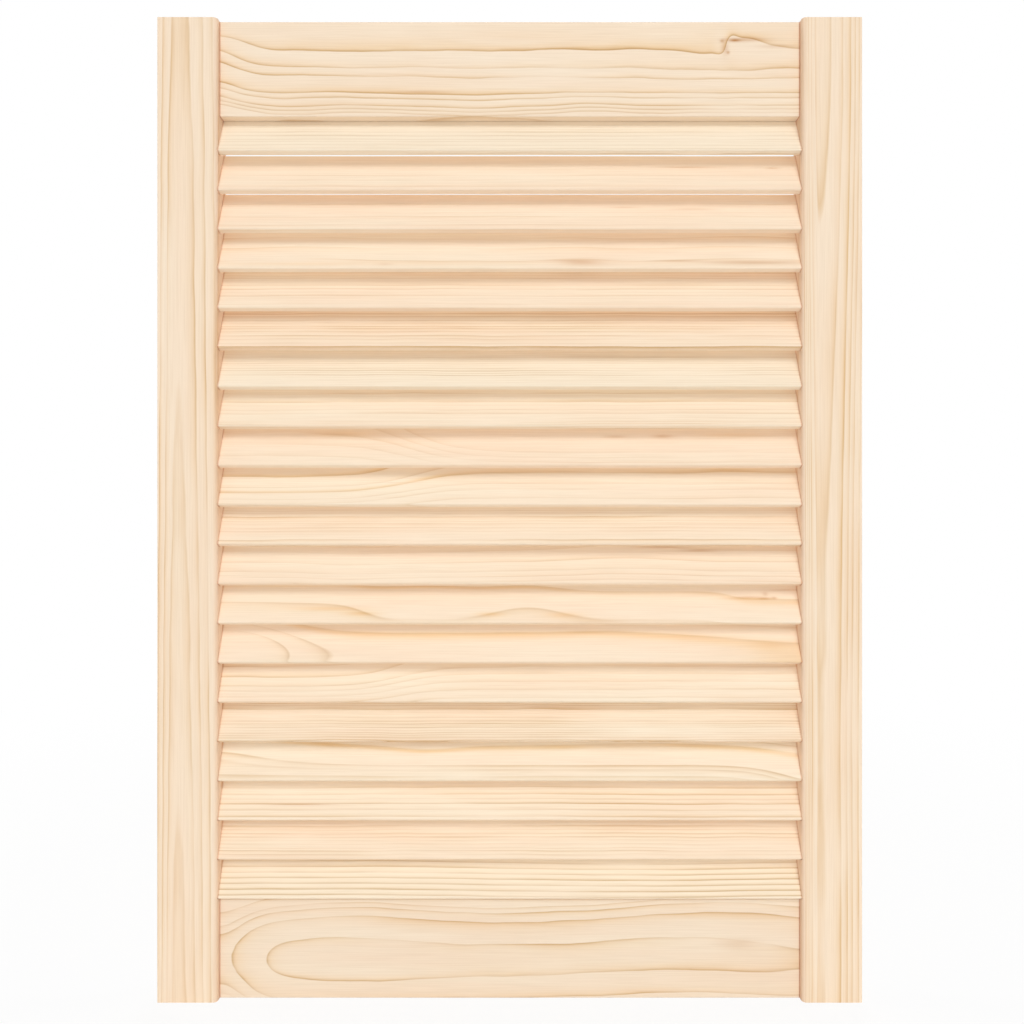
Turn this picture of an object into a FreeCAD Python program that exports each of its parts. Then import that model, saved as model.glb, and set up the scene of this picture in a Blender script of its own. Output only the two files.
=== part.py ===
import FreeCAD, Part
import math
import os
import Sketcher

# Louvred softwood cabinet door: two stiles, two rails and a ladder of fixed, raked slats
# X runs across the door, Y from its front to its back, and Z up
# The origin is the middle of the hinge edge, which is the outer face of the left stile

# Driving sizes in millimetres, the rake in degrees
SIZES = [
    ("door_height", 690, "overall height, which is the length of the stiles"),
    ("door_width", 494, "overall width across both stiles"),
    ("door_thickness", 21, "thickness of the stiles"),
    ("stile_width", 42, "width of each stile"),
    ("stile_inner_round", 3, "radius along the stile edges that face the slats"),
    ("stile_outer_round", 1, "radius along the outer stile edges"),
    ("top_rail_height", 67, "height of the top rail"),
    ("bottom_rail_height", 70, "height of the bottom rail"),
    ("rail_thickness", 10, "thickness of the rails, in the middle of the stiles"),
    ("rail_round", 0.8, "radius along the rail edges"),
    ("tenon_length", 22, "reach of the rail tenons into the stiles"),
    ("tenon_thickness", 6, "thickness of the tenons"),
    ("tenon_shoulder", 10, "shoulder above and below each tenon"),
    ("tenon_fit", 0.15, "clearance round each tenon in its mortise"),
    ("slat_count", 20, "number of slats"),
    ("slat_width", 32.8, "width of a slat across its slope"),
    ("slat_thickness", 5, "thickness of a slat"),
    ("slat_rake", 25, "lean of a slat from upright, top edge to the back"),
    ("slat_round", 1.2, "radius along the slat edges"),
    ("slat_rail_gap", 0.4, "clearance between the end slats and the rails"),
    ("housing_depth", 8, "depth of the slat housings in the stiles"),
    ("housing_fit", 0.3, "clearance round each slat in its housing"),
    ("end_gap", 0.5, "space left beyond the end of each slat and tenon"),
]

# Sizes that follow from the driving ones
OPENING = "(Sizes.door_width - 2 * Sizes.stile_width)"
SLAT_FIELD = "(Sizes.door_height - Sizes.top_rail_height - Sizes.bottom_rail_height)"
SLAT_PITCH = f"({SLAT_FIELD} / Sizes.slat_count)"
SLAT_HALF_RISE = (
    "((Sizes.slat_width / 2 - Sizes.slat_round) * cos(Sizes.slat_rake)"
    " + (Sizes.slat_thickness / 2 - Sizes.slat_round) * sin(Sizes.slat_rake)"
    " + Sizes.slat_round)"
)
LOWEST_SLAT_Z = (
    "(Sizes.bottom_rail_height - Sizes.door_height / 2"
    f" + Sizes.slat_rail_gap + {SLAT_HALF_RISE})"
)
HIGHEST_SLAT_Z = f"({LOWEST_SLAT_Z} + (Sizes.slat_count - 1) * {SLAT_PITCH})"
TOP_RAIL_Z = "((Sizes.door_height - Sizes.top_rail_height) / 2)"
BOTTOM_RAIL_Z = "((Sizes.bottom_rail_height - Sizes.door_height) / 2)"
MORTISE_DEPTH = "(Sizes.tenon_length + Sizes.end_gap)"

BODY_NAMES = []


def add_sizes(doc):
    """The sheet of driving sizes: name, value and meaning on each row."""
    sheet = doc.addObject("Spreadsheet::Sheet", "Sizes")
    for row, (name, value, meaning) in enumerate(SIZES, start=1):
        sheet.set(f"A{row}", name)
        sheet.set(f"B{row}", str(value))
        sheet.set(f"C{row}", meaning)
        sheet.setAlias(f"B{row}", name)
    doc.recompute()
    return sheet


def add_body(doc, label, x, z):
    """An empty piece at its place in the door."""
    body = doc.addObject("PartDesign::Body", label)
    body.Label = label
    body.setExpression("Placement.Base.x", x)
    body.setExpression("Placement.Base.z", z)
    BODY_NAMES.append(body.Name)
    return body


def origin_feature(body, role):
    return next(item for item in body.Origin.OriginFeatures if item.Role == role)


def constrain(sketch, constraint, name, size):
    """Adds a named dimension to a sketch and binds it to a size."""
    sketch.renameConstraint(sketch.addConstraint(constraint), name)
    sketch.setExpression(f"Constraints.{name}", size)


def add_outline(body, name, plane, width, height, radii, place=("0", "0", "0"), rake="0"):
    """A sketch of a rectangle about its own centre, with a radius at each corner.

    The radii go anticlockwise from the lower left corner. The place is the centre in the
    plane's own axes, and the rake turns the outline clockwise.
    """
    sketch = body.newObject("Sketcher::SketchObject", name)
    sketch.AttachmentSupport = [(origin_feature(body, plane), "")]
    sketch.MapMode = "FlatFace"
    clockwise = FreeCAD.Rotation(FreeCAD.Vector(0, 0, -1), float(sketch.evalExpression(rake)))
    sketch.AttachmentOffset = FreeCAD.Placement(FreeCAD.Vector(), clockwise)
    sketch.setExpression("AttachmentOffset.Base.x", place[0])
    sketch.setExpression("AttachmentOffset.Base.y", place[1])
    sketch.setExpression("AttachmentOffset.Base.z", place[2])
    sketch.setExpression("AttachmentOffset.Rotation.Angle", rake)

    half_x = float(sketch.evalExpression(width)) / 2
    half_y = float(sketch.evalExpression(height)) / 2
    corners = [(-half_x, -half_y), (half_x, -half_y), (half_x, half_y), (-half_x, half_y)]
    directions = [(1, 0), (0, 1), (-1, 0), (0, -1)]
    sizes = [float(sketch.evalExpression(radius)) for radius in radii]

    sides = []
    for index, (along_x, along_y) in enumerate(directions):
        after = (index + 1) % 4
        start = FreeCAD.Vector(
            corners[index][0] + sizes[index] * along_x, corners[index][1] + sizes[index] * along_y
        )
        end = FreeCAD.Vector(
            corners[after][0] - sizes[after] * along_x, corners[after][1] - sizes[after] * along_y
        )
        sides.append(sketch.addGeometry(Part.LineSegment(start, end)))

    rounds = []
    for index, (x, y) in enumerate(corners):
        radius = sizes[index]
        centre = FreeCAD.Vector(x - math.copysign(radius, x), y - math.copysign(radius, y))
        circle = Part.Circle(centre, FreeCAD.Vector(0, 0, 1), radius)
        start_angle = math.pi + index * math.pi / 2
        arc = Part.ArcOfCircle(circle, start_angle, start_angle + math.pi / 2)
        rounds.append(sketch.addGeometry(arc))

    for index, side in enumerate(sides):
        sketch.addConstraint(Sketcher.Constraint(("Horizontal", "Vertical")[index % 2], side))
        sketch.addConstraint(Sketcher.Constraint("Tangent", rounds[index], 2, side, 1))
        sketch.addConstraint(Sketcher.Constraint("Tangent", side, 2, rounds[(index + 1) % 4], 1))
    for index, arc in enumerate(rounds):
        radius = Sketcher.Constraint("Radius", arc, sizes[index])
        constrain(sketch, radius, f"corner_{index + 1}", radii[index])

    bottom, right, top, left = sides
    full_x = Sketcher.Constraint("DistanceX", left, 1, right, 1, 2 * half_x)
    constrain(sketch, full_x, "full_x", width)
    right_x = Sketcher.Constraint("DistanceX", -1, 1, right, 1, half_x)
    constrain(sketch, right_x, "right_x", f"{width} / 2")
    full_y = Sketcher.Constraint("DistanceY", bottom, 1, top, 1, 2 * half_y)
    constrain(sketch, full_y, "full_y", height)
    top_y = Sketcher.Constraint("DistanceY", -1, 1, top, 1, half_y)
    constrain(sketch, top_y, "top_y", f"{height} / 2")
    return sketch


def add_slat_outline(body, name, clearance, place):
    """The leaning section of a slat, grown by a clearance all round."""
    return add_outline(
        body,
        name,
        "YZ_Plane",
        f"(Sizes.slat_thickness + 2 * {clearance})",
        f"(Sizes.slat_width + 2 * {clearance})",
        [f"(Sizes.slat_round + {clearance})"] * 4,
        place,
        "Sizes.slat_rake",
    )


def add_tenon_block(body, kind, name, rail_height, clearance, length, place):
    """The square block of a rail's tenons, or of a mortise with a clearance round the tenon."""
    block = body.newObject(f"PartDesign::{kind}", name)
    thickness = f"(Sizes.tenon_thickness + 2 * {clearance})"
    height = f"({rail_height} - 2 * Sizes.tenon_shoulder + 2 * {clearance})"
    edges = [("Length", length), ("Width", thickness), ("Height", height)]
    for (edge, size), axis, centre in zip(edges, "xyz", place):
        block.setExpression(edge, size)
        block.setExpression(f"Placement.Base.{axis}", f"{centre} - {size} / 2")


def add_pad(body, name, sketch, length):
    """Material on both sides of the sketch, length in all."""
    pad = body.newObject("PartDesign::Pad", name)
    pad.Profile = sketch
    pad.SideType = "Symmetric"
    pad.setExpression("Length", length)
    return pad


def add_pocket(body, name, sketch, depth, along_normal):
    """A blind cut on one side of the sketch."""
    pocket = body.newObject("PartDesign::Pocket", name)
    pocket.Profile = sketch
    pocket.Reversed = along_normal
    pocket.setExpression("Length", depth)
    return pocket


def add_stile(doc, label, on_left):
    """An upright with a housing for every slat and a mortise for each rail."""
    if on_left:
        centre_x = "Sizes.stile_width / 2"
        inner_face_x = "Sizes.stile_width / 2"
        mortise_x = f"({inner_face_x} - {MORTISE_DEPTH} / 2)"
        radii = ["Sizes.stile_outer_round", "Sizes.stile_inner_round"]
    else:
        centre_x = "Sizes.door_width - Sizes.stile_width / 2"
        inner_face_x = "-Sizes.stile_width / 2"
        mortise_x = f"({inner_face_x} + {MORTISE_DEPTH} / 2)"
        radii = ["Sizes.stile_inner_round", "Sizes.stile_outer_round"]
    body = add_body(doc, label, centre_x, "0")

    section = add_outline(
        body,
        f"{label}_section",
        "XY_Plane",
        "Sizes.stile_width",
        "Sizes.door_thickness",
        radii + radii[::-1],
    )
    add_pad(body, f"{label}_length", section, "Sizes.door_height")

    rails = [
        ("top", "Sizes.top_rail_height", TOP_RAIL_Z),
        ("bottom", "Sizes.bottom_rail_height", BOTTOM_RAIL_Z),
    ]
    for end, rail_height, rail_z in rails:
        add_tenon_block(
            body,
            "SubtractiveBox",
            f"{label}_{end}_mortise",
            rail_height,
            "Sizes.tenon_fit",
            MORTISE_DEPTH,
            (mortise_x, "0", rail_z),
        )

    outline = add_slat_outline(
        body, f"{label}_housing_outline", "Sizes.housing_fit", ("0", LOWEST_SLAT_Z, inner_face_x)
    )
    housing = add_pocket(
        body, f"{label}_lowest_housing", outline, "Sizes.housing_depth", not on_left
    )
    ladder = body.newObject("PartDesign::LinearPattern", f"{label}_housings")
    ladder.Originals = [housing]
    ladder.Direction = (origin_feature(body, "Z_Axis"), [""])
    ladder.setExpression("Length", f"(Sizes.slat_count - 1) * {SLAT_PITCH}")
    ladder.setExpression("Occurrences", "Sizes.slat_count")
    body.Tip = ladder
    return body


def add_rail(doc, label, rail_height, rail_z):
    """A board between the stiles, with a tenon at each end."""
    body = add_body(doc, label, "Sizes.door_width / 2", rail_z)
    section = add_outline(
        body,
        f"{label}_section",
        "YZ_Plane",
        "Sizes.rail_thickness",
        rail_height,
        ["Sizes.rail_round"] * 4,
    )
    add_pad(body, f"{label}_board", section, OPENING)
    add_tenon_block(
        body,
        "AdditiveBox",
        f"{label}_tenons",
        rail_height,
        "0",
        f"({OPENING} + 2 * Sizes.tenon_length)",
        ("0", "0", "0"),
    )
    return body


def add_top_slat_rebate(body):
    """Clears the lower back edge of the top rail for the head of the highest slat."""
    place = ("0", f"{HIGHEST_SLAT_Z} - {TOP_RAIL_Z}", "0")
    outline = add_slat_outline(body, f"{body.Label}_rebate_outline", "Sizes.slat_rail_gap", place)
    rebate = body.newObject("PartDesign::Pocket", f"{body.Label}_rebate")
    rebate.Profile = outline
    rebate.SideType = "Symmetric"
    rebate.setExpression("Length", OPENING)


def add_slat(doc, number):
    """One slat, counted from the top, with both ends in their housings."""
    label = f"slat_{number:02d}"
    z = f"{HIGHEST_SLAT_Z} - {number - 1} * {SLAT_PITCH}"
    body = add_body(doc, label, "Sizes.door_width / 2", z)
    section = add_slat_outline(body, f"{label}_section", "0", ("0", "0", "0"))
    length = f"{OPENING} + 2 * (Sizes.housing_depth - Sizes.end_gap)"
    add_pad(body, f"{label}_board", section, length)


def check_document(doc):
    """Stops if any feature failed or any piece isn't one valid solid."""
    for item in doc.Objects:
        if "Invalid" in item.State or "Error" in item.State:
            raise RuntimeError(f"{item.Label} failed: {item.State}")
    for name in BODY_NAMES:
        shape = doc.getObject(name).Shape
        if shape.isNull() or not shape.isValid() or len(shape.Solids) != 1:
            raise RuntimeError(f"{name} isn't one valid solid")


def main():
    doc = FreeCAD.newDocument("louvred_door")
    sheet = add_sizes(doc)
    add_stile(doc, "left_stile", True)
    add_stile(doc, "right_stile", False)
    top_rail = add_rail(doc, "top_rail", "Sizes.top_rail_height", TOP_RAIL_Z)
    add_top_slat_rebate(top_rail)
    add_rail(doc, "bottom_rail", "Sizes.bottom_rail_height", BOTTOM_RAIL_Z)
    for number in range(1, int(sheet.get("slat_count")) + 1):
        add_slat(doc, number)
    doc.recompute()
    check_document(doc)

    os.makedirs("parts", exist_ok=True)
    for name in BODY_NAMES:
        body = doc.getObject(name)
        body.Shape.exportStep(f"parts/{body.Label}.step")
        print(f"{body.Label}: {body.Shape.Volume:.0f} mm3")


main()
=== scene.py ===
import math
from dataclasses import dataclass

import bpy
from mathutils import Matrix, Vector


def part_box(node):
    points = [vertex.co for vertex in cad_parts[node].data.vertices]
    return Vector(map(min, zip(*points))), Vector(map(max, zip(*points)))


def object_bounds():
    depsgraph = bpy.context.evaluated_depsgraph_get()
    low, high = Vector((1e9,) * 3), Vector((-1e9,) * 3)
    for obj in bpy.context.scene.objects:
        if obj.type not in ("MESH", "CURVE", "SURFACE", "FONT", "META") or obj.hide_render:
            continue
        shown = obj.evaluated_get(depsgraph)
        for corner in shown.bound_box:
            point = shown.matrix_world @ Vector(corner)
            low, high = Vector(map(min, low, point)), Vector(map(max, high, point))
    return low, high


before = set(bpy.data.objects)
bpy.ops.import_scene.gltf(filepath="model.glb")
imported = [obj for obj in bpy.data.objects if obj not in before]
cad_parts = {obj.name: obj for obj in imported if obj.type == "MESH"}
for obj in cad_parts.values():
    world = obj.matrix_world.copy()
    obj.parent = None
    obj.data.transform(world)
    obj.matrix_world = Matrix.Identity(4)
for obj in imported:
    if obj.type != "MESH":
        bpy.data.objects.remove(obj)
cad_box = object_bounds()

# The stage is in metres, the wood in millimetres
MM = 0.001

# The door, in metres
DOOR_MIDDLE = (cad_box[0][0] + cad_box[1][0]) / 2
DOOR_FRONT = cad_box[0][1]
DOOR_FOOT = cad_box[0][2]

# Its pieces, in millimetres; the joint line is painted shade, dark where a rail or slat goes into a stile
OPENING = (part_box("right_stile")[0][0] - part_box("left_stile")[1][0]) / MM
JOINT_LINE = 0.9
STILE_WIDTH = (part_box("left_stile")[1][0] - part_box("left_stile")[0][0]) / MM
STILE_ROUND = 3.0
SLAT_THICKNESS = 5.0
SLAT_RAKE = math.radians(25)

# The axes of a piece: along the grain, across it, and out of its front face
UPRIGHT_AXES = (Vector((0, 0, 1)), Vector((-1, 0, 0)), Vector((0, -1, 0)))
LEVEL_AXES = (Vector((1, 0, 0)), Vector((0, 0, 1)), Vector((0, -1, 0)))
SLAT_AXES = (
    Vector((1, 0, 0)),
    Vector((0, math.sin(SLAT_RAKE), math.cos(SLAT_RAKE))),
    Vector((0, -math.cos(SLAT_RAKE), math.sin(SLAT_RAKE))),
)


def srgb(red, green, blue):
    """A colour of 0 to 255 per channel as linear RGBA."""
    channels = []
    for value in (red, green, blue):
        value /= 255
        linear = value / 12.92 if value <= 0.04045 else ((value + 0.055) / 1.055) ** 2.4
        channels.append(linear)
    return (*channels, 1.0)


# The palest and the warmest wood of a piece; the slats are a little lighter, which paints in the extra light
# on their upturned faces, and the bottom rail darker
FRAME_WOOD = (srgb(249, 231, 208), srgb(247, 224, 198))
FOOT_WOOD = (srgb(245, 229, 207), srgb(243, 221, 197))
SLAT_WOOD_AND_LIGHT = (srgb(250, 234, 210), srgb(250, 226, 200))

# What each mark multiplies the wood by; the joint colours and the stiles' inner edge colour are painted shade
LINE_STAIN = srgb(208, 191, 163)
AMBER_STAIN = srgb(249, 233, 205)
FLECK_STAIN = srgb(204, 156, 90)
RAIL_JOINT_SHADE = srgb(200, 145, 125)
SLAT_JOINT_SHADE = srgb(238, 214, 201)
END_STAIN = srgb(236, 218, 196)
INNER_EDGE_SHADE = srgb(250, 240, 235)


class Graph:
    """Short ways to add the nodes of one material or world."""

    def __init__(self, owner):
        owner.use_nodes = True
        self.tree = owner.node_tree
        self.tree.nodes.clear()

    def add(self, kind, **settings):
        node = self.tree.nodes.new(kind)
        for name, value in settings.items():
            setattr(node, name, value)
        return node

    def put(self, socket, value):
        """Links an output to a socket, or sets a plain value on it."""
        if isinstance(value, bpy.types.NodeSocket):
            self.tree.links.new(value, socket)
        else:
            socket.default_value = value

    def math(self, operation, first, second=0.0, third=0.0, clamp=False):
        node = self.add("ShaderNodeMath", operation=operation, use_clamp=clamp)
        for socket, value in zip(node.inputs, (first, second, third)):
            self.put(socket, value)
        return node.outputs[0]

    def vector(self, operation, first, second):
        node = self.add("ShaderNodeVectorMath", operation=operation)
        self.put(node.inputs[0], first)
        self.put(node.inputs[1], second)
        return node.outputs["Value" if operation == "DOT_PRODUCT" else "Vector"]

    def noise(self, vector, waves, detail=1.0):
        """Noise about zero, with so many waves per millimetre along, across and out."""
        node = self.add("ShaderNodeTexNoise")
        self.put(node.inputs["Vector"], self.vector("MULTIPLY", vector, waves))
        self.put(node.inputs["Scale"], 1.0)
        self.put(node.inputs["Detail"], detail)
        return self.math("SUBTRACT", node.outputs[0], 0.5)

    def parts(self, vector):
        node = self.add("ShaderNodeSeparateXYZ")
        self.put(node.inputs[0], vector)
        return node.outputs

    def bell(self, distance, width):
        """One at no distance, falling to nothing a few widths away."""
        run = self.math("DIVIDE", distance, width)
        return self.math("POWER", 1 / math.e, self.math("MULTIPLY", run, run))

    def spot(self, along, over, spot, level, length, height):
        """A bell in two directions, round a place on the face."""
        run = self.bell(self.math("SUBTRACT", along, spot), length)
        rise = self.bell(self.math("SUBTRACT", over, level), height)
        return self.math("MULTIPLY", run, rise)

    def mix(self, factor, first, second, blend="MIX"):
        node = self.add("ShaderNodeMix", data_type="RGBA", blend_type=blend)
        self.put(node.inputs["Factor"], factor)
        self.put(node.inputs["A"], first)
        self.put(node.inputs["B"], second)
        return node.outputs["Result"]

    # Multiplies a mark into a colour: a stain of the wood, or painted shade
    def stain_or_shade(self, factor, colour, stain_or_shade):
        return self.mix(factor, colour, stain_or_shade, "MULTIPLY")


@dataclass
class Cut:
    """How a piece was cut from its log, in millimetres from the middle of its front face."""

    # Where the pith lies: how far across, how deep behind the face, and its tilt back along the piece
    across: float
    depth: float
    tilt: float = 0.0
    # How many times closer the rings stand across the piece beyond the pith
    lean: float = 1.0
    # Each (along, length, reach) pushes the pith back: a bend round that place, a step from there on
    bends: tuple = ()
    steps: tuple = ()
    # Each (along, length, shift) pushes the pith across
    sways: tuple = ()
    # Each (along, across, length, height, lift, twist) moves the rings or turns them, as by a knot
    swells: tuple = ()
    # Each (along, across, length, height, strength) is an amber streak or a brown fleck
    streaks: tuple = ()
    flecks: tuple = ()
    # Each (radius, darkness) is a ring, and the first only says where the second starts
    rings: tuple = ()
    # Without that list, rings come at this spacing with this darkness
    spacing: float = 3.0
    darkness: float = 1.0
    # Each (radius, width, strength) is a band of amber that follows the rings
    bands: tuple = ()
    # How strong the amber of the rings is, how far they wander, and where the tone of the wood lies
    amber: float = 1.0
    wander: float = 0.3
    warmth: float = 0.5
    # By default the slats' wood, made lighter with painted light
    wood: tuple = SLAT_WOOD_AND_LIGHT


def place_in_log(graph, node):
    """The shading point in millimetres from the middle of the piece's front face."""
    low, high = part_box(node)
    axes, thickness = SLAT_AXES, SLAT_THICKNESS * MM
    if not node.startswith("slat"):
        axes = UPRIGHT_AXES if node.endswith("stile") else LEVEL_AXES
        thickness = high[1] - low[1]
    mapping = graph.add("ShaderNodeMapping", vector_type="TEXTURE")
    graph.put(mapping.inputs["Vector"], graph.add("ShaderNodeTexCoord").outputs["Object"])
    mapping.inputs["Location"].default_value = (low + high) / 2 + axes[2] * thickness / 2
    mapping.inputs["Rotation"].default_value = Matrix(axes).transposed().to_euler()
    mapping.inputs["Scale"].default_value = (MM, MM, MM)
    return mapping.outputs["Vector"], axes[0]


# Long, middling and short waves of the rings: waves per millimetre, and reach in millimetres
RING_WAVES = (((0.006, 0.015, 0.015), 5.0), ((0.02, 0.04, 0.04), 5.0), ((0.07, 0.2, 0.2), 0.8))


def ring_radius(graph, place, grain, cut):
    """The distance from the pith, with the wander that makes grain lines wavy."""
    along, over, out = graph.parts(place)
    side = graph.math("SUBTRACT", over, cut.across)
    for spot, length, shift in cut.sways:
        bell = graph.bell(graph.math("SUBTRACT", along, spot), length)
        side = graph.math("MULTIPLY_ADD", bell, -shift, side)
    side = graph.math("MAXIMUM", side, graph.math("MULTIPLY", side, cut.lean))
    back = graph.math("MULTIPLY_ADD", along, cut.tilt, graph.math("ADD", out, cut.depth))
    for spot, length, reach in cut.bends:
        bell = graph.bell(graph.math("SUBTRACT", along, spot), length)
        back = graph.math("MULTIPLY_ADD", bell, reach, back)
    for spot, length, reach in cut.steps:
        run = graph.math("DIVIDE", graph.math("SUBTRACT", along, spot), length)
        rise = graph.math("MULTIPLY_ADD", graph.math("TANH", run), 0.5, 0.5)
        back = graph.math("MULTIPLY_ADD", rise, reach, back)
    square = graph.math("MULTIPLY", side, side)
    radius = graph.math("SQRT", graph.math("MULTIPLY_ADD", back, back, square))
    for spot, level, length, height, lift, twist in cut.swells:
        run = graph.math("SUBTRACT", along, spot)
        bell = graph.spot(along, over, spot, level, length, height)
        push = graph.math("MULTIPLY_ADD", run, twist / length, lift)
        radius = graph.math("MULTIPLY_ADD", bell, push, radius)
    for waves, reach in RING_WAVES:
        radius = graph.math("MULTIPLY_ADD", graph.noise(grain, waves), reach * cut.wander, radius)
    return radius


# A ring ends within its edge, and its line and amber fade towards the pith over these millimetres
RING_EDGE = 0.4
LINE_FADE = 0.5
AMBER_FADE = 0.3
AMBER_FADE_PER_WIDTH = 0.22


def ring_line(graph, inside, width):
    """A thin line and the soft amber lead-in to it, which both end abruptly on the outer side."""
    inside = graph.math("MAXIMUM", inside, -RING_EDGE)
    end = graph.math("MULTIPLY_ADD", inside, 1 / RING_EDGE, 1.0, clamp=True)
    thin = graph.math("POWER", math.exp(-1 / LINE_FADE), inside)
    soft = graph.math("POWER", math.exp(-1 / (AMBER_FADE + AMBER_FADE_PER_WIDTH * width)), inside)
    return graph.math("MINIMUM", thin, end), graph.math("MINIMUM", soft, end)


def listed_rings(graph, radius, cut):
    """The lines and the amber of rings at given radii."""
    line, amber = 0.0, 0.0
    for (inner, _), (outer, darkness) in zip(cut.rings, cut.rings[1:]):
        thin, soft = ring_line(graph, graph.math("SUBTRACT", outer, radius), outer - inner)
        line = graph.math("MULTIPLY_ADD", thin, darkness, line)
        amber = graph.math("MULTIPLY_ADD", soft, darkness, amber)
    return line, amber


# How often and how far the spacing of even rings varies, in rings, and the share of the faintest ring
SPACING_WAVES = 0.35
SPACING_REACH = 2.0
FAINTEST_RING = 0.2

# Millimetres per count of the seed, which give each piece its own stretch of the noise
RADIUS_SHIFT = 91.0
GRAIN_SHIFT = Vector((731.0, 57.0, 119.0))


def even_rings(graph, radius, cut, seed):
    """The lines and the amber of rings at a nearly even spacing, some fainter than others."""
    uneven = graph.add("ShaderNodeTexNoise", noise_dimensions="1D")
    graph.put(uneven.inputs["W"], graph.math("ADD", radius, seed * RADIUS_SHIFT))
    graph.put(uneven.inputs["Scale"], SPACING_WAVES / cut.spacing)
    count = graph.math("DIVIDE", radius, cut.spacing)
    count = graph.math("MULTIPLY_ADD", uneven.outputs[0], SPACING_REACH, count)
    year = graph.add("ShaderNodeTexWhiteNoise", noise_dimensions="1D")
    graph.put(year.inputs["W"], graph.math("FLOOR", count))
    vigour = graph.math("MULTIPLY_ADD", year.outputs["Value"], 1.0 - FAINTEST_RING, FAINTEST_RING)
    vigour = graph.math("MULTIPLY", vigour, cut.darkness)
    left = graph.math("SUBTRACT", 1.0, graph.math("FRACT", count))
    thin, soft = ring_line(graph, graph.math("MULTIPLY", left, cut.spacing), cut.spacing)
    return graph.math("MULTIPLY", thin, vigour), graph.math("MULTIPLY", soft, vigour)


# Where rings fade out: waves per millimetre, detail, and the spread and middle of what is left of them
FADE_WAVES = (0.008, 0.08, 0.08)
FADE_DETAIL = 2.0
FADE_SPREAD = 2.6
FADE_MIDDLE = 0.7


def late_wood(graph, radius, grain, cut, seed):
    """How much of a ring's dark line there is here, and of its amber."""
    if cut.rings:
        line, amber = listed_rings(graph, radius, cut)
    else:
        line, amber = even_rings(graph, radius, cut, seed)
    fade = graph.noise(grain, FADE_WAVES, FADE_DETAIL)
    fade = graph.math("MULTIPLY_ADD", fade, FADE_SPREAD, FADE_MIDDLE, clamp=True)
    amber = graph.math("MULTIPLY", amber, cut.amber)
    for middle, width, strength in cut.bands:
        band = graph.bell(graph.math("SUBTRACT", radius, middle), width)
        amber = graph.math("MULTIPLY_ADD", band, strength, amber)
    return graph.math("MULTIPLY", line, fade), graph.math("MULTIPLY", amber, fade)


# The broad tone of the wood and its fine fibres, in waves per millimetre, and how far they show
TONE_WAVES = (0.006, 0.07, 0.07)
FIBRE_WAVES = (0.025, 1.3, 1.3)
WOOD_DETAIL = 3.0
TONE_SPREAD = 2.0
FIBRE_SPREAD = 0.45
FIBRE_MIDDLE = 0.05


def wood_colour(graph, grain, line, amber, cut):
    """The colour of rings and fibres, and the noise of the fibres."""
    tone = graph.noise(grain, TONE_WAVES, WOOD_DETAIL)
    tone = graph.math("MULTIPLY_ADD", tone, TONE_SPREAD, cut.warmth, clamp=True)
    colour = graph.mix(tone, *cut.wood)
    colour = graph.stain_or_shade(amber, colour, AMBER_STAIN)
    colour = graph.stain_or_shade(line, colour, LINE_STAIN)
    fibre = graph.noise(grain, FIBRE_WAVES, WOOD_DETAIL)
    streak = graph.math("MULTIPLY_ADD", fibre, FIBRE_SPREAD, FIBRE_MIDDLE, clamp=True)
    return graph.stain_or_shade(streak, colour, LINE_STAIN), fibre


def add_marks(graph, colour, along, over, cut):
    """Amber streaks and brown flecks."""
    for marks, stain_or_shade in ((cut.streaks, AMBER_STAIN), (cut.flecks, FLECK_STAIN)):
        for spot, level, length, height, strength in marks:
            mark = graph.spot(along, over, spot, level, length, height)
            colour = graph.stain_or_shade(graph.math("MULTIPLY", mark, strength), colour, stain_or_shade)
    return colour


# How quickly the end stain goes as a face turns from the end of the grain to its side
END_GRAIN_POWER = 6.0


def shade_edges_and_stain_end_grain(graph, colour, along, over, grain_axis, node):
    """Painted shade on the rounded inner edges of the stiles and in the joints, and darker wood on end grain.
    """
    if node.endswith("stile"):
        # The stile's inner rounding gets painted shade
        inward = graph.math("MULTIPLY", over, 1.0 if node.startswith("right") else -1.0)
        past = graph.math("SUBTRACT", inward, STILE_WIDTH / 2 - STILE_ROUND)
        edge = graph.math("DIVIDE", past, STILE_ROUND, clamp=True)
        colour = graph.stain_or_shade(edge, colour, INNER_EDGE_SHADE)
    else:
        # The end of a rail or slat gets a line of painted shade at the joint
        past = graph.math("SUBTRACT", graph.math("ABSOLUTE", along), OPENING / 2 - JOINT_LINE)
        joint = graph.math("DIVIDE", past, JOINT_LINE, clamp=True)
        joint_shade = RAIL_JOINT_SHADE if node.endswith("rail") else SLAT_JOINT_SHADE
        colour = graph.stain_or_shade(joint, colour, joint_shade)
    normal = graph.add("ShaderNodeTexCoord").outputs["Normal"]
    facing = graph.math("ABSOLUTE", graph.vector("DOT_PRODUCT", normal, grain_axis))
    return graph.stain_or_shade(graph.math("POWER", facing, END_GRAIN_POWER), colour, END_STAIN)


# The surface of the wood; the fibres vary its roughness and, with the rings, its height in metres
ROUGHNESS_SPREAD = 0.3
ROUGHNESS_MIDDLE = 0.6
SHINE = 0.25
BUMP_STRENGTH = 0.2
BUMP_HEIGHT = 0.0002


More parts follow.
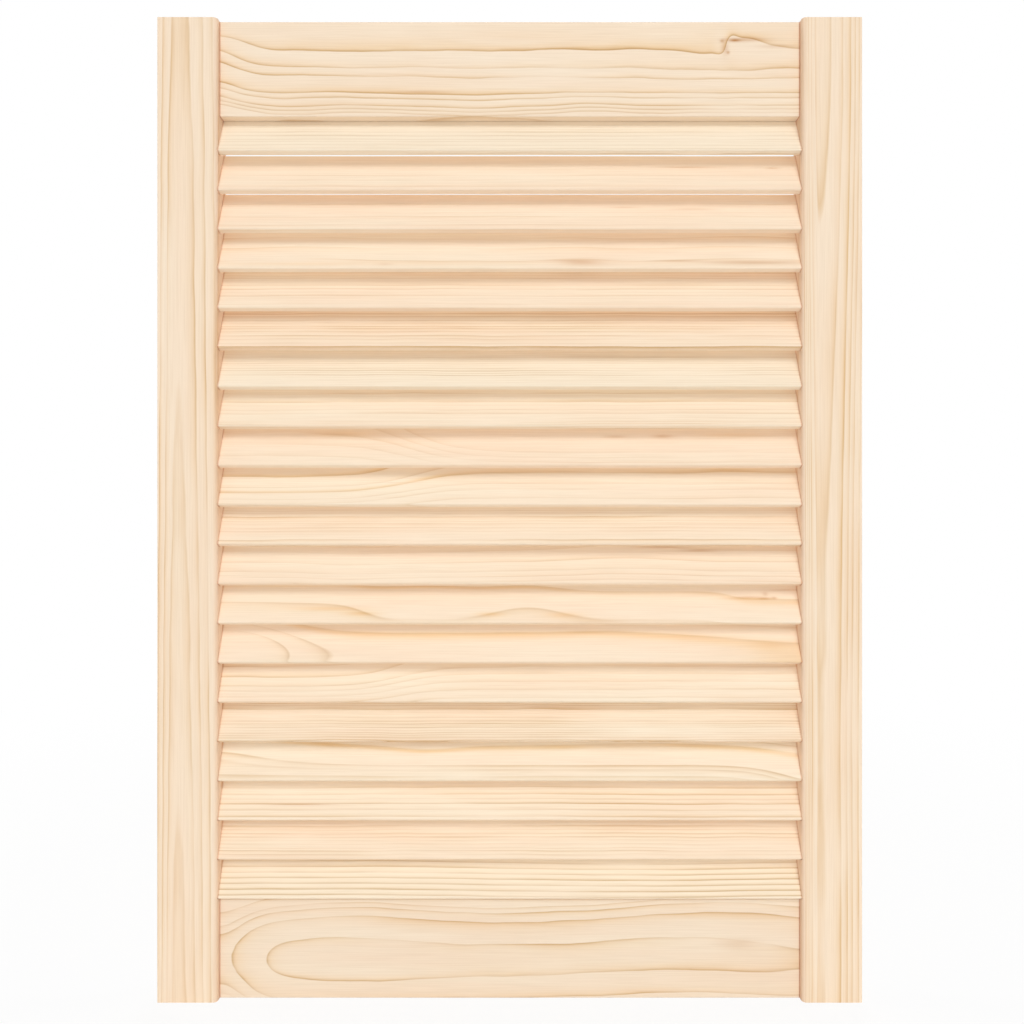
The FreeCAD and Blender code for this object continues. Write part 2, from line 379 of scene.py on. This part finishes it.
def pine(node, seed, cut):
    """Bare sanded pine, with growth rings that run right through the piece."""
    material = bpy.data.materials.new(f"pine_{node}")
    graph = Graph(material)
    place, grain_axis = place_in_log(graph, node)
    along, over, _ = graph.parts(place)
    grain = graph.vector("ADD", place, GRAIN_SHIFT * seed)
    radius = ring_radius(graph, place, grain, cut)
    line, amber = late_wood(graph, radius, grain, cut, seed)
    colour, fibre = wood_colour(graph, grain, line, amber, cut)
    colour = add_marks(graph, colour, along, over, cut)
    # Painted shade on the inner edges and in the joints, and the end grain darker
    colour = shade_edges_and_stain_end_grain(graph, colour, along, over, grain_axis, node)

    shader = graph.add("ShaderNodeBsdfPrincipled")
    graph.put(shader.inputs["Base Color"], colour)
    roughness = graph.math("MULTIPLY_ADD", fibre, ROUGHNESS_SPREAD, ROUGHNESS_MIDDLE)
    graph.put(shader.inputs["Roughness"], roughness)
    shader.inputs["Specular IOR Level"].default_value = SHINE
    bump = graph.add("ShaderNodeBump")
    bump.inputs["Strength"].default_value = BUMP_STRENGTH
    bump.inputs["Distance"].default_value = BUMP_HEIGHT
    graph.put(bump.inputs["Height"], graph.math("SUBTRACT", fibre, line))
    graph.put(shader.inputs["Normal"], bump.outputs[0])
    output = graph.add("ShaderNodeOutputMaterial")
    graph.put(output.inputs["Surface"], shader.outputs[0])

    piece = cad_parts[node]
    piece.data.materials.clear()
    piece.data.materials.append(material)


STILES_AND_RAILS = {
    "left_stile": Cut(
        across=6.5, depth=19.2, tilt=0.0095, lean=1.6, wander=0.25, amber=1.5, wood=FRAME_WOOD,
        rings=((12.0, 0.0), (16.8, 0.3), (20.0, 0.4), (23.8, 0.5), (28.3, 0.6), (33.0, 0.4)),
    ),
    "right_stile": Cut(
        across=9.5, depth=25.2, bends=((345.0, 230.0, -6.2), (-161.0, 50.0, 0.4)), lean=3.0,
        wander=0.12, amber=2.2, wood=FRAME_WOOD,
        rings=((18.0, 0.0), (20.7, 0.3), (25.3, 0.3), (29.4, 0.5), (32.0, 0.4), (34.3, 0.4), (37.4, 0.4)),
    ),
    "top_rail": Cut(
        across=31.0, depth=20.0, bends=((-210.0, 26.0, 13.0),), amber=1.2, wander=0.7, warmth=0.3,
        wood=FRAME_WOOD,
        rings=(
            (16.0, 0.0), (26.4, 1.15), (35.6, 0.7), (41.1, 0.85), (51.4, 1.0),
            (54.8, 0.7), (59.8, 0.7), (62.4, 0.55), (64.9, 0.5),
        ),
        swells=(
            (-208.0, 31.0, 26.0, 10.0, -11.6, 0.0), (153.0, 18.0, 6.0, 11.0, 0.0, 6.5),
            (166.0, 18.0, 16.0, 9.0, 4.4, 0.0), (140.0, 12.0, 16.0, 9.0, -2.0, 0.0),
            (170.0, -4.0, 90.0, 8.0, -2.2, 0.0), (-18.0, -32.0, 38.0, 22.0, -2.5, 0.0),
        ),
        flecks=(
            (152.0, 15.0, 2.5, 5.0, 0.4), (159.0, 20.3, 4.0, 1.0, 0.9), (166.0, 20.8, 15.0, 1.6, 0.5),
            (154.3, 11.7, 1.2, 1.2, 0.6), (150.0, 19.9, 1.5, 1.2, 0.5), (187.0, 16.0, 12.0, 1.5, 0.2),
            (-62.0, -16.2, 18.0, 0.9, 0.35),
        ),
    ),
    "bottom_rail": Cut(
        across=-8.0, depth=10.0, bends=((-205.0, 29.2, 20.7), (212.0, 30.0, 3.0)), wander=0.6,
        sways=((120.0, 60.0, 4.5),), wood=FOOT_WOOD,
        swells=((-110.0, 0.0, 55.0, 60.0, -4.0, 0.0), (205.0, 28.0, 70.0, 14.0, -5.0, 0.0)),
        flecks=((160.0, 3.0, 14.0, 4.0, 0.2),),
        rings=((6.0, 0.0), (14.7, 0.75), (28.5, 0.75), (34.9, 0.75), (38.5, 0.4), (45.0, 0.6)), amber=1.2,
    ),
}

# From the top down; their seeds are counted on from this one
SLAT_SEED = 10
SLATS = (
    Cut(across=60.0, depth=30.0, spacing=2.8, darkness=1.0, amber=0.3, warmth=-0.2),
    Cut(
        across=42.0, depth=30.0, spacing=4.2, darkness=0.35, wander=0.15, warmth=0.75,
        flecks=((127.0, 4.8, 20.0, 0.8, 0.4), (187.0, 4.0, 5.0, 0.8, 0.4)),
    ),
    Cut(
        across=-45.0, depth=25.0, spacing=4.6, darkness=0.45, warmth=0.8,
        flecks=((81.0, 3.6, 10.0, 0.8, 0.25), (131.0, 1.9, 15.0, 1.0, 0.2)),
    ),
    Cut(
        across=-45.0, depth=30.0, bends=((-140.0, 45.0, -3.5), (45.0, 25.0, -2.5), (160.0, 50.0, -3.5)),
        rings=((38.0, 0.0), (46.0, 0.4), (55.0, 0.3), (63.0, 0.3)), amber=1.5,
        streaks=((-150.0, -12.5, 50.0, 1.5, 0.4),),
        flecks=(
            (-88.0, -12.7, 6.0, 1.2, 0.2), (51.0, -11.0, 15.0, 2.8, 0.42), (40.0, -9.4, 14.0, 1.0, 0.25),
            (118.0, -9.7, 16.0, 1.0, 0.35), (172.0, -11.2, 36.0, 2.0, 0.45),
        ),
    ),
    Cut(across=55.0, depth=20.0, spacing=3.4, darkness=0.7, warmth=0.7),
    Cut(across=-50.0, depth=30.0, spacing=2.4, darkness=1.7, warmth=0.8),
    Cut(across=60.0, depth=20.0, spacing=1.9, darkness=0.85, amber=0.5, warmth=-0.1),
    Cut(across=45.0, depth=30.0, spacing=2.7, darkness=0.8, warmth=0.4),
    Cut(
        across=25.0, depth=42.0, steps=((-60.0, 40.0, -20.0),), warmth=0.8,
        rings=((32.0, 0.0), (38.0, 0.2), (41.5, 0.2), (44.8, 0.3), (49.0, 0.25), (54.0, 0.2), (60.0, 0.2)),
        streaks=((-120.0, 9.0, 25.0, 2.5, 0.5), (160.0, 8.0, 25.0, 2.0, 0.5)),
        flecks=((75.0, 6.7, 8.0, 1.2, 0.3), (109.0, 7.0, 7.0, 1.5, 0.4)),
    ),
    Cut(
        across=30.0, depth=20.0, steps=((-78.0, 35.0, 16.7),), warmth=0.45,
        rings=((24.0, 0.0), (31.6, 0.55), (38.5, 0.3), (42.0, 0.45), (47.0, 0.25), (50.0, 0.3), (55.0, 0.25)),
        bands=((31.0, 1.0, 0.5), (41.6, 1.0, 0.5)),
    ),
    Cut(across=-55.0, depth=25.0, spacing=2.6, darkness=0.9, warmth=0.6),
    Cut(
        across=40.0, depth=30.0, bends=((-110.0, 40.0, -2.5), (80.0, 60.0, 4.0)), spacing=4.0,
        darkness=0.5, warmth=0.65, flecks=((106.0, 11.5, 18.0, 1.2, 0.4), (135.0, 8.5, 12.0, 1.0, 0.45)),
    ),
    Cut(
        across=-25.0, depth=45.6, steps=((-106.0, 16.0, 4.2), (156.0, 12.0, 3.3)),
        bends=((-205.0, 50.0, -0.7), (13.0, 30.0, -2.8)), swells=((-60.0, 8.0, 50.0, 7.0, -3.0, 0.0),),
        rings=((42.0, 0.0), (50.8, 0.45), (59.0, 0.4)), bands=((58.4, 0.8, 0.5),), wander=0.05,
        streaks=(
            (-128.0, -6.0, 26.0, 1.6, 0.7), (-105.0, -9.5, 12.0, 1.8, 0.8), (-14.0, -10.0, 10.0, 1.6, 0.8),
            (38.0, -10.5, 12.0, 2.0, 0.7), (174.0, 1.4, 16.0, 1.2, 0.8),
        ),
        flecks=(
            (181.0, 1.6, 5.0, 0.9, 0.5), (182.0, 5.0, 2.0, 1.6, 0.3), (188.0, 2.0, 2.0, 1.0, 0.4),
            (198.0, 8.0, 14.0, 0.7, 0.3), (169.0, 2.4, 10.0, 1.0, 0.35),
        ),
    ),
    Cut(
        across=-12.0, depth=27.0, bends=((-215.0, 55.0, -22.0), (64.0, 50.0, -0.8), (210.0, 70.0, 3.2)),
        rings=((12.0, 0.0), (20.0, 0.45), (25.2, 0.4), (31.6, 0.35), (37.0, 0.5)), amber=0.6, wander=0.1,
        bands=((30.8, 1.3, 0.8),), warmth=0.75, streaks=((184.0, -3.8, 11.0, 3.0, 0.4),),
    ),
    Cut(
        across=30.0, depth=22.0, steps=((-85.0, 32.0, 14.0),), warmth=0.35,
        rings=(
            (26.0, 0.0), (30.6, 0.55), (36.2, 0.7), (41.6, 0.5), (44.5, 0.35),
            (48.0, 0.25), (52.0, 0.35), (56.3, 0.25),
        ),
    ),
    Cut(across=60.0, depth=25.0, spacing=1.6, darkness=1.1, warmth=0.5),
    Cut(
        across=-30.0, depth=27.0, bends=((215.0, 36.0, 6.5),), amber=0.7, warmth=0.2, wander=0.08,
        swells=(
            (-225.0, 6.0, 80.0, 12.0, -7.5, 0.0), (-60.0, 6.0, 28.0, 7.0, 2.2, 0.0),
            (95.0, 9.0, 60.0, 8.0, -1.5, 0.0),
        ),
        rings=((28.0, 0.0), (31.5, 0.45), (34.1, 0.4), (35.9, 0.65), (45.9, 0.3), (49.5, 0.4)),
        bands=((45.0, 1.3, 1.0),), streaks=((-130.0, 10.2, 10.0, 2.5, 0.6),),
    ),
    Cut(
        across=50.0, depth=25.0, bends=((0.0, 90.0, 1.5),), wander=0.2,
        rings=((48.0, 0.0), (51.5, 0.5), (55.6, 0.7), (58.5, 0.35), (61.2, 0.95), (65.0, 0.4), (69.1, 0.65)),
        flecks=((-149.0, -5.9, 22.0, 0.7, 0.5),),
    ),
    Cut(across=-60.0, depth=25.0, spacing=2.2, darkness=0.85, warmth=0.75),
    Cut(
        across=55.0, depth=30.0, bends=((88.0, 120.0, -4.0),), amber=0.6, wander=0.15, warmth=0.0,
        rings=(
            (49.5, 0.0), (52.4, 0.5), (55.5, 0.7), (58.7, 0.9), (61.9, 0.8),
            (65.1, 1.0), (68.4, 0.8), (71.8, 1.0), (75.1, 0.8),
        ),
    ),
)

for seed, (node, cut) in enumerate(STILES_AND_RAILS.items(), start=1):
    pine(node, seed, cut)
for number, cut in enumerate(SLATS, start=1):
    pine(f"slat_{number:02d}", SLAT_SEED + number, cut)


def seen_directly(graph):
    """One for rays that show a surface as it is, zero for rays that carry its light elsewhere."""
    rays = graph.add("ShaderNodeLightPath").outputs
    seen = graph.math("MAXIMUM", rays["Is Camera Ray"], rays["Is Glossy Ray"])
    return graph.math("MAXIMUM", seen, rays["Is Transmission Ray"])


def blend_shaders(graph, factor, first, second, output):
    """Ends a material or world in a mix of two shaders."""
    blend = graph.add("ShaderNodeMixShader")
    graph.put(blend.inputs[0], factor)
    graph.put(blend.inputs[1], first.outputs[0])
    graph.put(blend.inputs[2], second.outputs[0])
    graph.put(graph.add(output).inputs["Surface"], blend.outputs[0])


WHITE = (1.0, 1.0, 1.0, 1.0)

# In metres the floor's size, and from where to where its share of plain white rises, then that share
FLOOR_SIZE = 8.0
FLOOR_COLOUR = (0.92, 0.92, 0.92, 1.0)
NEAR_DOOR = 0.2
AWAY_FROM_DOOR = 1.2
WHITE_NEAR_DOOR = 0.86
WHITE_AWAY = 1.0


def add_floor():
    """A pale floor that shows white, keeps a light shadow, and fades out away from the door."""
    bpy.ops.mesh.primitive_plane_add(size=FLOOR_SIZE, location=(DOOR_MIDDLE, 0.0, DOOR_FOOT))
    floor = bpy.context.object
    floor.name = "floor"
    material = bpy.data.materials.new("floor_white")
    graph = Graph(material)
    matt = graph.add("ShaderNodeBsdfDiffuse")
    matt.inputs["Color"].default_value = FLOOR_COLOUR
    glow = graph.add("ShaderNodeEmission")
    glow.inputs["Color"].default_value = WHITE
    place = graph.add("ShaderNodeTexCoord").outputs["Object"]
    away = graph.add("ShaderNodeVectorMath", operation="LENGTH")
    graph.put(away.inputs[0], place)
    whiteness = graph.add("ShaderNodeMapRange", interpolation_type="SMOOTHSTEP")
    graph.put(whiteness.inputs["Value"], away.outputs["Value"])
    graph.put(whiteness.inputs["From Min"], NEAR_DOOR)
    graph.put(whiteness.inputs["From Max"], AWAY_FROM_DOOR)
    graph.put(whiteness.inputs["To Min"], WHITE_NEAR_DOOR)
    graph.put(whiteness.inputs["To Max"], WHITE_AWAY)
    share = graph.math("MULTIPLY", seen_directly(graph), whiteness.outputs["Result"])
    blend_shaders(graph, share, matt, glow, "ShaderNodeOutputMaterial")
    floor.data.materials.append(material)


# How strongly the white surround lights the door
SURROUND = 0.4

# Name, strength, then in degrees softness, elevation and turn to the right, and whether it casts shadows
LAMPS = (
    ("key", 1.05, 28, 41, 10, True),
    ("fill", 0.58, 40, 28, 0, False),
    ("bounce", 0.12, 40, -50, 0, False),
    ("left", 0.4, 12, 20, -100, True),
    ("right", 0.4, 12, 20, 100, True),
    ("back", 0.9, 40, 30, 170, True),
)


def add_light():
    """An even white surround, soft lamps before, below and behind the door, and one on each side."""
    world = bpy.data.worlds.new("studio")
    bpy.context.scene.world = world
    graph = Graph(world)
    surround = graph.add("ShaderNodeBackground")
    surround.inputs["Color"].default_value = WHITE
    surround.inputs["Strength"].default_value = SURROUND
    white = graph.add("ShaderNodeBackground")
    white.inputs["Color"].default_value = WHITE
    blend_shaders(graph, seen_directly(graph), surround, white, "ShaderNodeOutputWorld")

    for name, strength, softness, elevation, turn, shadows in LAMPS:
        lamp = bpy.data.lights.new(name, "SUN")
        lamp.energy = strength
        lamp.angle = math.radians(softness)
        lamp.use_shadow = shadows
        sun = bpy.data.objects.new(name, lamp)
        sun.rotation_euler = (math.radians(90 - elevation), 0.0, math.radians(turn))
        bpy.context.scene.collection.objects.link(sun)


# Sensor and lens in millimetres; in metres how far the camera stands before the door and off its middle
SENSOR = 36.0
LENS = 29.13
CAMERA_DISTANCE = 0.580
CAMERA_RIGHT = 0.0016
CAMERA_UP = -0.0015


def add_camera():
    """Square on to the door, at the photograph's distance."""
    camera_data = bpy.data.cameras.new("camera")
    camera_data.sensor_width = SENSOR
    camera_data.lens = LENS
    camera = bpy.data.objects.new("camera", camera_data)
    camera.location = (DOOR_MIDDLE + CAMERA_RIGHT, DOOR_FRONT - CAMERA_DISTANCE, CAMERA_UP)
    camera.rotation_euler = (math.pi / 2, 0.0, 0.0)
    bpy.context.scene.collection.objects.link(camera)
    bpy.context.scene.camera = camera


add_floor()
add_light()
add_camera()
bpy.context.scene.view_settings.view_transform = "Standard"
